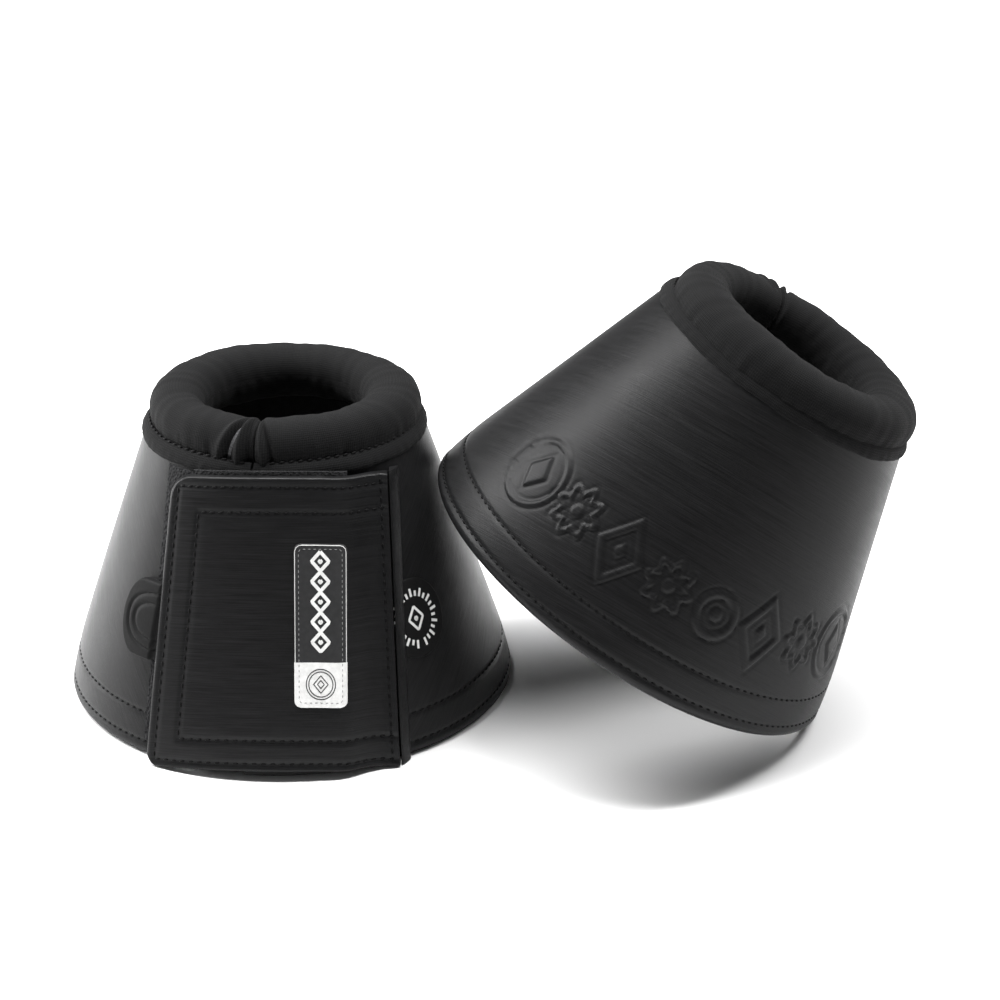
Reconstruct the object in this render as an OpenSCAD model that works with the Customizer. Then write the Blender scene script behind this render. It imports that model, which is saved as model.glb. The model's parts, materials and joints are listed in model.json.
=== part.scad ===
// Pair of wrap-round bell boots: one stands on its hem, its mirror image leans on the first one's flank.
// Each boot is a back, two wings that open from it, and a flap that closes one wing over the other.
// Angles round a boot are azimuths: 0 is the middle of the closure, positive towards the flap's seam.

/* [Shell] */
// Outer radius at the hem
hem_r = 86; // [80:1:92]
// Outer radius where the collar is sewn on
neck_r = 52.2; // [48:0.1:57]
// Height of the shell, hem to neck
shell_h = 105; // [92:1:120]
// Height over which the hem curls inwards more slowly than the wall
curl_h = 25; // [15:1:35]
// Slope of the wall right at the hem, radius lost per unit of height
hem_slope = 0.2; // [0:0.05:0.3]
// Thickness of the outer skin
skin_t = 1.7; // [1.2:0.1:2.4]
// Thickness of the lining
lining_t = 3.3; // [2:0.1:5]
// Height of the skin that is turned up inside the hem
facing_h = 18; // [10:1:24]
// Thickness of that facing
facing_t = 1.2; // [0.8:0.1:1.8]

/* [Collar] */
// Radius of the padded roll's section
roll_r = 9.8; // [8:0.1:11]
// How far the middle of the roll stays inside the neck's outer radius
roll_inset = 12.4; // [11:0.1:14]
// Height of the middle of the roll above the neck
roll_seat = 5.5; // [3:0.5:7]
// Thickness of the roll's cover
cover_t = 1.3; // [0.8:0.1:2]
// Height of the welt
welt_h = 5.5; // [4:0.5:8]
// How far the welt laps down over the skin
welt_lap = 2; // [1:0.5:4]
// Thickness of the welt
welt_t = 1; // [0.6:0.1:1.5]
// Azimuth at which the two ends of the collar meet
collar_split = -7; // [-15:1:0]

/* [Closure] */
// Azimuth of the hinge lines on both sides
wing_azimuth = 70; // [62:1:76]
// Azimuth at which the tab wing ends, under the flap
tab_end = 22; // [18:1:25]
// Sideways place of the flap's free edge at the hem
edge_x = -49; // [-54:0.5:-44]
// Lean of the free edge inwards, in degrees
edge_lean = 6.2; // [2:0.1:8]
// Sideways place of the flap's seam at the hem
seam_x = 45; // [42:0.5:48]
// Lean of the seam inwards, in degrees
seam_lean = 2.6; // [0:0.1:5]
// Width of the sewn strip beside the seam
strip_w = 4; // [3:0.5:6]
// Height of the flap's lower edge
flap_z0 = 2; // [1:0.5:5]
// How far the flap's upper edge stays below the neck
flap_drop = 1; // [0:0.5:10]
// Thickness of the flap panel
flap_t = 2.2; // [1.6:0.1:3]
// Thickness of a hook or loop patch
patch_t = 1.1; // [0.8:0.1:1.5]
// Thickness of the under panel
under_t = 1.8; // [1.2:0.1:2.5]
// How far the patches stay inside the flap's outline
patch_inset = 5; // [3:0.5:12]

/* [Trim] */
// Width of the label
label_w = 19; // [14:0.5:24]
// Height of the label
label_h = 56; // [44:1:66]
// Sideways place of the label's middle
label_x = 16.5; // [5:0.5:22]
// Height of the label's middle
label_z = 55; // [48:1:62]
// Thickness of the label
label_t = 0.6; // [0.4:0.1:1]
// Radius of the round side badge
badge_r = 14; // [9:0.5:16]
// Azimuth of the badge's middle
badge_azimuth = 44; // [42:1:50]
// Height of the badge's middle
badge_z = 47.5; // [40:0.5:60]
// Thickness of the badge
badge_t = 0.9; // [0.6:0.1:1.4]
// Height of the pull tab
tab_h = 26; // [20:1:34]
// Distance that the pull tab stands out past the flap's edge
tab_reach = 15; // [13:0.5:18]
// Thickness of the pull tab
tab_t = 2.4; // [1.8:0.1:3]
// Height of the pull tab's middle
tab_z = 50; // [35:1:60]

/* [Pair] */
// Tilt of the leaning boot
lean_tilt = 32; // [20:1:40]
// Distance of the leaning boot's hem centre in front of the standing boot's middle
lean_y = -22; // [-35:1:10]
// Turn of the leaning boot about its own axis
lean_turn = 180; // [150:1:210]

/* [Clearances] */
// Space left between sewn or glued layers
glue_gap = 0.05; // [0.02:0.01:0.15]
// Space between pieces that move on each other
move_gap = 0.4; // [0.3:0.05:0.6]
// Gap in the skin along the two wing hinge lines
hinge_gap = 0.5; // [0.4:0.1:1]
// Space between the leaning hem and the standing boot
lean_gap = 0.6; // [0.4:0.1:2]

/* [Hidden] */
$fn = 96;
BOOTS = ["standing_", "leaning_"];
PIECES = [
    "back_shell", "back_lining", "back_collar_cover", "back_collar_core", "back_welt",
    "flap_wing_shell", "flap_wing_lining", "flap_wing_collar_cover", "flap_wing_collar_core",
    "flap_wing_welt", "under_panel", "under_loop_patch", "seam_strip", "side_badge",
    "tab_wing_shell", "tab_wing_lining", "tab_wing_collar_cover", "tab_wing_collar_core",
    "tab_wing_welt", "outer_loop_patch", "inner_hook_patch",
    "flap_panel", "flap_hook_panel", "label", "pull_tab"
];

brushed_black = [0.10, 0.10, 0.11];
knit_black = [0.05, 0.05, 0.055];
foam_grey = [0.35, 0.35, 0.36];
pile_black = [0.07, 0.07, 0.07];
rubber_grey = [0.18, 0.18, 0.19];
label_white = [0.9, 0.9, 0.9];

// Straight wall above the curled hem
wall_slope = (hem_r - hem_slope * curl_h / 2 - neck_r) / (shell_h - curl_h / 2);
curl_r = hem_r - (hem_slope + wall_slope) * curl_h / 2;
curl_step = curl_h / 4;

// Depths below the skin's outer face, outwards negative
lining_in = skin_t + glue_gap;
lining_out = lining_in + lining_t;
facing_in = lining_out + glue_gap;
facing_out = facing_in + facing_t;
hook_in = skin_t + glue_gap;
hook_out = hook_in + patch_t;
loop_in = hook_out + move_gap;
loop_out = loop_in + patch_t;
under_in = max(loop_out + glue_gap, lining_out + glue_gap);
under_out = under_in + under_t;
outer_loop_out = -glue_gap - patch_t;
flap_hook_in = outer_loop_out - move_gap;
flap_hook_out = flap_hook_in - patch_t;
flap_in = flap_hook_out - glue_gap;
flap_out = flap_in - flap_t;

// Azimuths where pieces end
butt_gap = 1; // half the angle left open where two edges face each other
loop_show = 1.5; // how far the outer loop patch shows past the flap's free edge
hook_inset = 8; // how far the hook panel stays behind the free edge, clear of the pull tab's root
tab_root = 6; // how far the pull tab runs in behind the flap
label_corner = 2.5;
facing_clear = 2; // height left between the facing and the layers above it
under_lap = 10; // angle over which the under panel is sewn to the flap wing
tab_turn = 20; // half the arc of the ring that the pull tab is cut from
edge_azimuth = asin((edge_x + tab_z * tan(edge_lean)) / (shell_r(tab_z) - flap_in));
wing_gap = asin(hinge_gap / 2 / neck_r);
under_end = collar_split + butt_gap;
back_arc = [wing_azimuth + wing_gap, 360 - wing_azimuth - wing_gap];
flap_wing_arc = [tab_end + butt_gap, wing_azimuth - wing_gap];
tab_wing_arc = [-wing_azimuth + wing_gap, tab_end - butt_gap];
flap_collar_arc = [collar_split + butt_gap, wing_azimuth - wing_gap];
tab_collar_arc = [-wing_azimuth + wing_gap, collar_split - butt_gap];
under_arc = [under_end, tab_end + butt_gap + under_lap];
flap_arc = [-62, 62]; // wider than the flap, which is then trimmed at its two straight edges

// Collar and closure heights
roll_ring_r = neck_r - roll_inset;
roll_z = shell_h + roll_seat;
welt_z0 = shell_h - welt_lap;
tab_end_z = welt_z0 - move_gap;
flap_z1 = shell_h - flap_drop;
patch_z0 = flap_z0 + patch_inset;
inner_z0 = facing_h + facing_clear;

function shell_r(z) = z < curl_h
    ? hem_r - hem_slope * z - (wall_slope - hem_slope) * z * z / (2 * curl_h)
    : curl_r - wall_slope * (z - curl_h);
function knots(z0, z1) = concat(
    [z0],
    [for (z = [curl_step : curl_step : curl_h]) if (z > z0 + 0.5 && z < z1 - 0.5) z],
    [z1]
);

// Place of the leaning boot: its hem ring just clears the standing skin
function hem_x(turn) = hem_r * cos(lean_tilt) * cos(turn);
function hem_y(turn) = lean_y + hem_r * sin(turn);
function hem_z(turn) = hem_r * sin(lean_tilt) * (1 + cos(turn));
lean_z = hem_r * sin(lean_tilt);
lean_x = max([for (turn = [-60 : 2 : 60])
    hem_x(turn) + sqrt(max(0, pow(shell_r(hem_z(turn)) + lean_gap, 2) - pow(hem_y(turn), 2)))
]);

// Middle of the pair's own box, so that the origin is under it
crown_x = lean_x + sin(lean_tilt) * roll_z + roll_r + cos(lean_tilt) * roll_ring_r;
front_y = lean_y - hem_r;
pair_mid = [(crown_x - hem_r) / 2, (front_y + hem_r) / 2, 0];

module standing() {
    translate(-pair_mid) children();
}

module leaning() {
    translate([lean_x, lean_y, lean_z] - pair_mid)
        rotate([0, lean_tilt, 0])
            rotate([0, 0, lean_turn])
                mirror([1, 0, 0])
                    children();
}

// Section of a layer of the wall between two depths and two heights
module layer(depth0, depth1, z0, z1) {
    heights = knots(z0, z1);
    last = len(heights) - 1;
    polygon(concat(
        [for (z = heights) [shell_r(z) - depth0, z]],
        [for (i = [last : -1 : 0]) [shell_r(heights[i]) - depth1, heights[i]]]
    ));
}

// Turns a section through an arc of azimuths
module turn(arc) {
    rotate([0, 0, arc[0] - 90])
        rotate_extrude(angle = arc[1] - arc[0])
            children();
}

module skin_section() {
    layer(0, skin_t, 0, shell_h);
    fold_section();
}

// Skin turned in at the hem and up inside the lining
module fold_section() {
    layer(0, facing_out, 0, skin_t);
    layer(facing_in, facing_out, 0, facing_h);
}

module lining_section() {
    layer(lining_in, lining_out, skin_t + glue_gap, shell_h);
}

module roll_section(r) {
    translate([roll_ring_r, roll_z])
        circle(r);
}

module cover_section() {
    difference() {
        roll_section(roll_r);
        roll_section(roll_r - cover_t);
        below_neck();
    }
}

module core_section() {
    difference() {
        roll_section(roll_r - cover_t - glue_gap);
        below_neck();
    }
}

module below_neck() {
    translate([0, shell_h + glue_gap - 2 * roll_r])
        square([2 * neck_r, 2 * roll_r]);
}

module welt_section() {
    layer(-glue_gap - welt_t, -glue_gap, welt_z0, welt_z0 + welt_h);
}

// Half space beyond an upright plane that leans inwards, on the side of larger x
module beyond(x, lean) {
    translate([x, -2 * hem_r, 0])
        rotate([0, -lean, 0])
            translate([0, 0, -shell_h])
                cube([3 * hem_r, 2 * hem_r, 3 * shell_h]);
}

// Keeps what lies between the free edge and the seam, each moved inwards by an inset
module between_edges(edge_inset, seam_inset) {
    difference() {
        intersection() {
            children();
            beyond(edge_x + edge_inset, -edge_lean);
        }
        beyond(seam_x - seam_inset, seam_lean);
    }
}

module rounded_plate(w, h, r) {
    for (sx = [-1, 1]) for (sz = [-1, 1])
        translate([sx * (w / 2 - r), sz * (h / 2 - r)])
            circle(r);
    square([w - 2 * r, h], center = true);
    square([w, h - 2 * r], center = true);
}

// Stamps a flat outline through the front wall, so that it is cut from a curved layer
module front_stamp(x, z) {
    translate([x, 0, z])
        rotate([90, 0, 0])
            linear_extrude(2 * hem_r)
                children();
}

module back_shell() {
    color(brushed_black) turn(back_arc) skin_section();
}

module back_lining() {
    color(knit_black) turn(back_arc) lining_section();
}

module back_collar_cover() {
    color(knit_black) turn(back_arc) cover_section();
}

module back_collar_core() {
    color(foam_grey) turn(back_arc) core_section();
}

module back_welt() {
    color(knit_black) turn(back_arc) welt_section();
}

module flap_wing_shell() {
    color(brushed_black) turn(flap_wing_arc) skin_section();
}

module flap_wing_lining() {
    color(knit_black) turn(flap_wing_arc) lining_section();
}

module flap_wing_collar_cover() {
    color(knit_black) turn(flap_collar_arc) cover_section();
}

module flap_wing_collar_core() {
    color(foam_grey) turn(flap_collar_arc) core_section();
}

module flap_wing_welt() {
    color(knit_black) turn(flap_wing_arc) welt_section();
}

module under_panel() {
    color(knit_black)
        turn(under_arc)
            layer(under_in, under_out, inner_z0, shell_h);
}

module under_loop_patch() {
    color(pile_black)
        turn([under_end + 2 * butt_gap, tab_end])
            layer(loop_in, loop_out, inner_z0 + patch_inset, tab_end_z - patch_inset);
}

module seam_strip() {
    color(brushed_black)
        difference() {
            intersection() {
                turn([tab_end + 2 * butt_gap, wing_azimuth - butt_gap])
                    layer(flap_out, -glue_gap, flap_z0, flap_z1);
                beyond(seam_x + move_gap / 2, seam_lean);
            }
            beyond(seam_x + strip_w, seam_lean);
            welt_room();
        }
}

// The room that the welt takes from what is sewn over it
module welt_room() {
    turn(flap_wing_arc)
        layer(-2 * glue_gap - welt_t, 0, welt_z0 - glue_gap, shell_h);
}

module side_badge() {
    color(rubber_grey)
        intersection() {
            turn([tab_end + 2 * butt_gap, wing_azimuth - 2 * butt_gap])
                layer(-glue_gap - badge_t, -glue_gap, badge_z - 1.1 * badge_r, badge_z + 1.1 * badge_r);
            rotate([0, 0, badge_azimuth])
                front_stamp(0, badge_z)
                    circle(badge_r);
            beyond(seam_x + strip_w + glue_gap, seam_lean);
        }
}

module tab_wing_shell() {
    color(brushed_black) {
        turn(tab_wing_arc) layer(0, skin_t, 0, tab_end_z);
        turn([tab_wing_arc[0], collar_split - butt_gap]) {
            layer(0, skin_t, tab_end_z, shell_h);
            fold_section();
        }
    }
}

module tab_wing_lining() {
    color(knit_black)
        turn([tab_wing_arc[0], collar_split - butt_gap])
            lining_section();
}

module tab_wing_collar_cover() {
    color(knit_black) turn(tab_collar_arc) cover_section();
}

module tab_wing_collar_core() {
    color(foam_grey) turn(tab_collar_arc) core_section();
}

module tab_wing_welt() {
    color(knit_black) turn(tab_collar_arc) welt_section();
}

module outer_loop_patch() {
    color(pile_black)
        intersection() {
            turn([flap_arc[0], tab_end - 2 * butt_gap])
                layer(outer_loop_out, -glue_gap, patch_z0, tab_end_z);
            beyond(edge_x - loop_show, -edge_lean);
        }
}

module inner_hook_patch() {
    color(pile_black)
        turn([collar_split + butt_gap, tab_end - 2 * butt_gap])
            layer(hook_in, hook_out, inner_z0 + patch_inset, tab_end_z - patch_inset);
}

module flap_panel() {
    color(brushed_black)
        between_edges(0, move_gap / 2)
            turn(flap_arc) layer(flap_out, flap_in, flap_z0, flap_z1);
}

module flap_hook_panel() {
    color(pile_black)
        between_edges(hook_inset, patch_inset)
            turn(flap_arc) layer(flap_hook_out, flap_hook_in, patch_z0, flap_z1 - patch_inset);
}

module label() {
    color(label_white)
        intersection() {
            turn(flap_arc) layer(flap_out - glue_gap - label_t, flap_out - glue_gap, flap_z0, flap_z1);
            front_stamp(label_x, label_z) rounded_plate(label_w, label_h, label_corner);
        }
}

// Outline of the pull tab: half a disc and the root behind it, edge at x = 0
module tab_outline() {
    round_r = tab_h / 2;
    translate([round_r - tab_reach, 0]) {
        intersection() {
            circle(round_r);
            translate([-tab_h, -round_r]) square(tab_h);
        }
        translate([0, -round_r]) square([tab_root + tab_reach - round_r, tab_h]);
    }
}

// A rubber D that comes out from behind the flap's free edge and follows the wall
module pull_tab() {
    color(rubber_grey)
        difference() {
            intersection() {
                turn([edge_azimuth - tab_turn, edge_azimuth + tab_turn])
                    layer(flap_hook_in - tab_t, flap_hook_in, tab_z - tab_h / 2, tab_z + tab_h / 2);
                rotate([0, 0, edge_azimuth])
                    front_stamp(0, tab_z) tab_outline();
            }
            under_flap_space();
        }
}

// The room that the flap panel takes from the root of the pull tab
module under_flap_space() {
    intersection() {
        turn(flap_arc) layer(flap_out - tab_t, flap_in + glue_gap, flap_z0, flap_z1);
        beyond(edge_x - glue_gap, -edge_lean);
    }
}

standing() back_shell();  // standing_back_shell
standing() back_lining();  // standing_back_lining
standing() back_collar_cover();  // standing_back_collar_cover
standing() back_collar_core();  // standing_back_collar_core
standing() back_welt();  // standing_back_welt
standing() flap_wing_shell();  // standing_flap_wing_shell
standing() flap_wing_lining();  // standing_flap_wing_lining
standing() flap_wing_collar_cover();  // standing_flap_wing_collar_cover
standing() flap_wing_collar_core();  // standing_flap_wing_collar_core
standing() flap_wing_welt();  // standing_flap_wing_welt
standing() under_panel();  // standing_under_panel
standing() under_loop_patch();  // standing_under_loop_patch
standing() seam_strip();  // standing_seam_strip
standing() side_badge();  // standing_side_badge
standing() tab_wing_shell();  // standing_tab_wing_shell
standing() tab_wing_lining();  // standing_tab_wing_lining
standing() tab_wing_collar_cover();  // standing_tab_wing_collar_cover
standing() tab_wing_collar_core();  // standing_tab_wing_collar_core
standing() tab_wing_welt();  // standing_tab_wing_welt
standing() outer_loop_patch();  // standing_outer_loop_patch
standing() inner_hook_patch();  // standing_inner_hook_patch
standing() flap_panel();  // standing_flap_panel
standing() flap_hook_panel();  // standing_flap_hook_panel
standing() label();  // standing_label
standing() pull_tab();  // standing_pull_tab

leaning() back_shell();  // leaning_back_shell
leaning() back_lining();  // leaning_back_lining
leaning() back_collar_cover();  // leaning_back_collar_cover
leaning() back_collar_core();  // leaning_back_collar_core
leaning() back_welt();  // leaning_back_welt
leaning() flap_wing_shell();  // leaning_flap_wing_shell
leaning() flap_wing_lining();  // leaning_flap_wing_lining
leaning() flap_wing_collar_cover();  // leaning_flap_wing_collar_cover
leaning() flap_wing_collar_core();  // leaning_flap_wing_collar_core
leaning() flap_wing_welt();  // leaning_flap_wing_welt
leaning() under_panel();  // leaning_under_panel
leaning() under_loop_patch();  // leaning_under_loop_patch
leaning() seam_strip();  // leaning_seam_strip
leaning() side_badge();  // leaning_side_badge
leaning() tab_wing_shell();  // leaning_tab_wing_shell
leaning() tab_wing_lining();  // leaning_tab_wing_lining
leaning() tab_wing_collar_cover();  // leaning_tab_wing_collar_cover
leaning() tab_wing_collar_core();  // leaning_tab_wing_collar_core
leaning() tab_wing_welt();  // leaning_tab_wing_welt
leaning() outer_loop_patch();  // leaning_outer_loop_patch
leaning() inner_hook_patch();  // leaning_inner_hook_patch
leaning() flap_panel();  // leaning_flap_panel
leaning() flap_hook_panel();  // leaning_flap_hook_panel
leaning() label();  // leaning_label
leaning() pull_tab();  // leaning_pull_tab
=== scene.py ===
import json
import math
import bpy
import bmesh
import numpy as np
from mathutils import Matrix, Vector


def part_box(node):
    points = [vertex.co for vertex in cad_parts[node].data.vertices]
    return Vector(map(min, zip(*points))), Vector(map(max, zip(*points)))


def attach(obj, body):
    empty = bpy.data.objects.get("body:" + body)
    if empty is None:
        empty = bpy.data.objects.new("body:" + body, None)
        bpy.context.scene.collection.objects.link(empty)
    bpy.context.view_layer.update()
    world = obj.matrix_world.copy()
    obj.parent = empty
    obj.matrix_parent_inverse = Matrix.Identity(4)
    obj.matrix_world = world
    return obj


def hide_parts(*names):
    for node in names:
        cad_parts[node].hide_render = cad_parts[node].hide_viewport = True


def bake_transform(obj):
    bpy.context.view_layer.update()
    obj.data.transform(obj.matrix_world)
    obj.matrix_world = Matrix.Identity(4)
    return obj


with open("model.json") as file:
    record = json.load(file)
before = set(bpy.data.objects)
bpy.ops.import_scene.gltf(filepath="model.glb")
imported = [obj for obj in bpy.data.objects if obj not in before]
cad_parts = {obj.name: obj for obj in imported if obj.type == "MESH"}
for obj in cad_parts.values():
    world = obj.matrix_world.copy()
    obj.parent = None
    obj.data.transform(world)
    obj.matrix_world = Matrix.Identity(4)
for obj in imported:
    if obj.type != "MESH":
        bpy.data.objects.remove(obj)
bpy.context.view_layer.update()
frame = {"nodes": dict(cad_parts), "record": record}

mm = 0.001

# the boot's wall, in millimetres: everything below is placed on it by azimuth and height
wall = {
    "hemRadius": 86.0,
    "neckRadius": 52.2,
    "height": 105.0,
    "curlHeight": 25.0,
    "hemSlope": 0.2,
    "skin": 1.3,
    "hemFold": 3.15,      # radius of the turned hem
    "facingHeight": 18.0,
}
wallSlope = ((wall["hemRadius"] - wall["hemSlope"] * wall["curlHeight"] / 2 - wall["neckRadius"])
             / (wall["height"] - wall["curlHeight"] / 2))
curlRadius = wall["hemRadius"] - (wall["hemSlope"] + wallSlope) * wall["curlHeight"] / 2
coneAngle = math.atan(wallSlope)
apexHeight = wall["curlHeight"] + curlRadius / wallSlope


def wallRadius(z):
    z = np.asarray(z, float)
    curled = (wall["hemRadius"] - wall["hemSlope"] * z
              - (wallSlope - wall["hemSlope"]) * z * z / (2 * wall["curlHeight"]))
    straight = curlRadius - wallSlope * (z - wall["curlHeight"])
    return np.where(z < wall["curlHeight"], curled, straight)


def around(azimuth, radius, z):
    # azimuth in degrees, 0 in the middle of the closure, growing towards the flap's seam
    a = np.radians(azimuth)
    return np.stack(np.broadcast_arrays(radius * np.sin(a), -radius * np.cos(a), z), -1)


def flatPattern(azimuth, z, middle):
    # where a point of the wall lies when the cone is rolled out flat round its middle azimuth
    slant = (apexHeight - np.asarray(z, float)) / math.cos(coneAngle)
    turn = np.radians(np.asarray(azimuth, float) - middle) * math.sin(coneAngle)
    return np.stack(np.broadcast_arrays(slant * np.sin(turn), -slant * np.cos(turn)), -1) * mm


# places of the two boots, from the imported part
def standingPlace():
    low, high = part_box("standing_back_shell")
    middleX = (low.x + high.x) / 2
    middleY = high.y - wall["hemRadius"] * mm
    return Matrix.Translation((middleX, middleY, 0))


def leaningPlace():
    collar = next(m for m in frame["record"]["mounts"] if m["name"] == "pastern_collar_leaning")
    up = Vector(collar["axis"]).normalized()
    collarHeight = 0.1105
    side = Vector((up.z, 0, -up.x))
    place = Matrix.Translation(Vector(collar["pos_m"]) - up * collarHeight)
    turn = Matrix((side, (0, -1, 0), up)).transposed().to_4x4()
    return place @ turn


boots = {"standing": standingPlace(), "leaning": leaningPlace()}


def toWorld(boot, points):
    m = np.array(boots[boot])
    return (np.asarray(points, float).reshape(-1, 3) * mm) @ m[:3, :3].T + m[:3, 3]


def newObject(name, vertices, faces, material, uv=None, smoothAngle=40):
    mesh = bpy.data.meshes.new(name)
    if isinstance(faces, np.ndarray):
        faces = faces.tolist()
    mesh.from_pydata(np.asarray(vertices).tolist(), [], faces)
    work = bmesh.new()
    work.from_mesh(mesh)
    if work.calc_volume(signed=True) < 0:
        bmesh.ops.reverse_faces(work, faces=work.faces)
    work.to_mesh(mesh)
    work.free()
    if uv is not None:
        layer = mesh.uv_layers.new(name="flat")
        loopVertex = np.empty(len(mesh.loops), int)
        mesh.loops.foreach_get("vertex_index", loopVertex)
        layer.data.foreach_set("uv", np.asarray(uv, np.float32)[loopVertex].ravel())
    mesh.materials.append(material)
    mesh.shade_smooth()
    mesh.set_sharp_from_angle(angle=math.radians(smoothAngle))
    piece = bpy.data.objects.new(name, mesh)
    bpy.context.scene.collection.objects.link(piece)
    return piece


def gridFaces(nu, nv, start=0):
    i, j = np.meshgrid(np.arange(nu - 1), np.arange(nv - 1), indexing="ij")
    a = start + i * nv + j
    return np.stack([a, a + nv, a + nv + 1, a + 1], -1).reshape(-1, 4)


def rimFaces(loopA, loopB):
    return np.stack([loopA, np.roll(loopA, -1), np.roll(loopB, -1), loopB], -1)


def slab(name, boot, front, back, flat, material, smoothAngle=40):
    # a closed sheet between two grids of the same size, with its rim closed
    nu, nv = front.shape[:2]
    count = nu * nv
    ids = np.arange(count).reshape(nu, nv)
    rim = np.concatenate([ids[:-1, 0], ids[-1, :-1], ids[1:, -1][::-1], ids[0, 1:][::-1]])
    faces = np.concatenate([
        gridFaces(nu, nv),
        gridFaces(nu, nv, count)[:, ::-1],
        rimFaces(rim, rim + count)[:, ::-1],
    ])
    vertices = toWorld(boot, np.concatenate([front.reshape(-1, 3), back.reshape(-1, 3)]))
    uv = np.concatenate([flat.reshape(-1, 2)] * 2)
    return newObject(name, vertices, faces, material, uv, smoothAngle)


def tube(name, boot, sections, flat, material, smoothAngle=60):
    # a closed roll: one ring of points for each step along it, with both ends closed
    nu, nv = sections.shape[:2]
    ids = np.arange(nu * nv).reshape(nu, nv)
    i = np.arange(nu - 1)[:, None]
    j = np.arange(nv)[None, :]
    k = (j + 1) % nv
    faces = np.stack(np.broadcast_arrays(i * nv + j, (i + 1) * nv + j, (i + 1) * nv + k, i * nv + k), -1)
    faces = faces.reshape(-1, 4).tolist()
    faces.append(ids[0].tolist())
    faces.append(ids[-1][::-1].tolist())
    return newObject(name, toWorld(boot, sections), faces, material, flat.reshape(-1, 2), smoothAngle)


def spread(*stops):
    # values from stop to stop, each stretch with its own step: spread(a, step, b, step, c)
    values = [stops[0]]
    for step, end in zip(stops[1::2], stops[2::2]):
        start = values[-1]
        n = max(1, int(round(abs(end - start) / step)))
        values += [start + (end - start) * (i + 1) / n for i in range(n)]
    return np.array(values)


# ---- materials
def newMaterial(name, colour, roughness, **sockets):
    material = bpy.data.materials.new(name)
    material.use_nodes = True
    shader = material.node_tree.nodes["Principled BSDF"]
    shader.inputs["Base Color"].default_value = (*colour, 1)
    shader.inputs["Roughness"].default_value = roughness
    for key, value in sockets.items():
        shader.inputs[key.replace("_", " ")].default_value = value
    return material, material.node_tree.nodes, material.node_tree.links, shader


def mathNode(nodes, links, operation, a, b=None, c=None):
    node = nodes.new("ShaderNodeMath")
    node.operation = operation
    for i, value in enumerate((a, b, c)):
        if value is None:
            continue
        if isinstance(value, (int, float)):
            node.inputs[i].default_value = value
        else:
            links.new(value, node.inputs[i])
    return node.outputs[0]


def noiseAt(nodes, links, vector, scale, detail=2.0, roughness=0.5):
    node = nodes.new("ShaderNodeTexNoise")
    node.inputs["Scale"].default_value = scale
    node.inputs["Detail"].default_value = detail
    node.inputs["Roughness"].default_value = roughness
    links.new(vector, node.inputs["Vector"])
    return node.outputs["Fac"]


def mapped(nodes, links, source, scale, turn=0.0):
    node = nodes.new("ShaderNodeMapping")
    node.inputs["Scale"].default_value = scale
    node.inputs["Rotation"].default_value = (0, 0, turn)
    links.new(source, node.inputs["Vector"])
    return node.outputs["Vector"]


def remap(nodes, links, value, low, high, outLow, outHigh):
    node = nodes.new("ShaderNodeMapRange")
    for i, v in enumerate((low, high, outLow, outHigh)):
        node.inputs[i + 1].default_value = v
    links.new(value, node.inputs["Value"])
    return node.outputs["Result"]


def bump(nodes, links, height, shader, distance, strength=1.0):
    node = nodes.new("ShaderNodeBump")
    node.inputs["Distance"].default_value = distance
    node.inputs["Strength"].default_value = strength
    links.new(height, node.inputs["Height"])
    links.new(node.outputs["Normal"], shader.inputs["Normal"])
    return node


def flatCoordinates(nodes):
    node = nodes.new("ShaderNodeUVMap")
    node.uv_map = "flat"
    return node.outputs["UV"]


def tint(nodes, links, value, dark, light, socket):
    node = nodes.new("ShaderNodeMix")
    node.data_type = "RGBA"
    node.inputs["A"].default_value = (*dark, 1)
    node.inputs["B"].default_value = (*light, 1)
    links.new(value, node.inputs["Factor"])
    links.new(node.outputs["Result"], socket)


brushed = {
    "dark": (0.0045, 0.0045, 0.0047),
    "light": (0.0135, 0.0135, 0.0140),
    "streakTurn": math.radians(-10),
    "streakLength": 0.020,
    "streakWidth": 0.00028,
    "roughLow": 0.29,
    "roughHigh": 0.43,
    "anisotropy": 0.65,
}


def makeBrushedSkin(name, streakTurn):
    material, nodes, links, shader = newMaterial(
        name, brushed["light"], 0.4, Specular_IOR_Level=0.12,
        Anisotropic=brushed["anisotropy"])
    flat = flatCoordinates(nodes)
    streakAxes = (1 / brushed["streakLength"], 1 / brushed["streakWidth"], 1)
    long = mapped(nodes, links, flat, streakAxes, streakTurn)
    fine = noiseAt(nodes, links, long, 1.0, 3, 0.6)
    broad = noiseAt(nodes, links, mapped(nodes, links, flat, (30, 700, 1), streakTurn), 1.0, 2)
    cloud = noiseAt(nodes, links, flat, 55, 2)
    mostlyFine = mathNode(nodes, links, "MULTIPLY", fine, 0.78)
    streak = mathNode(nodes, links, "MULTIPLY_ADD", broad, 0.22, mostlyFine)
    contrast = remap(nodes, links, streak, 0.33, 0.67, 0, 1)
    tint(nodes, links, contrast, brushed["dark"], brushed["light"], shader.inputs["Base Color"])
    worn = mathNode(nodes, links, "MULTIPLY_ADD", cloud, 0.12, -0.06)
    rough = remap(nodes, links, streak, 0.3, 0.7, brushed["roughLow"], brushed["roughHigh"])
    links.new(mathNode(nodes, links, "ADD", rough, worn), shader.inputs["Roughness"])
    bump(nodes, links, streak, shader, 0.00011, 0.9)
    tangent = nodes.new("ShaderNodeTangent")
    tangent.direction_type = "UV_MAP"
    tangent.uv_map = "flat"
    links.new(tangent.outputs["Tangent"], shader.inputs["Tangent"])
    return material


knit = {
    "dark": (0.0028, 0.0028, 0.0029),
    "light": (0.0115, 0.0115, 0.0118),
    "rib": 0.00085,
    "loop": 0.0006,
}


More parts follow.
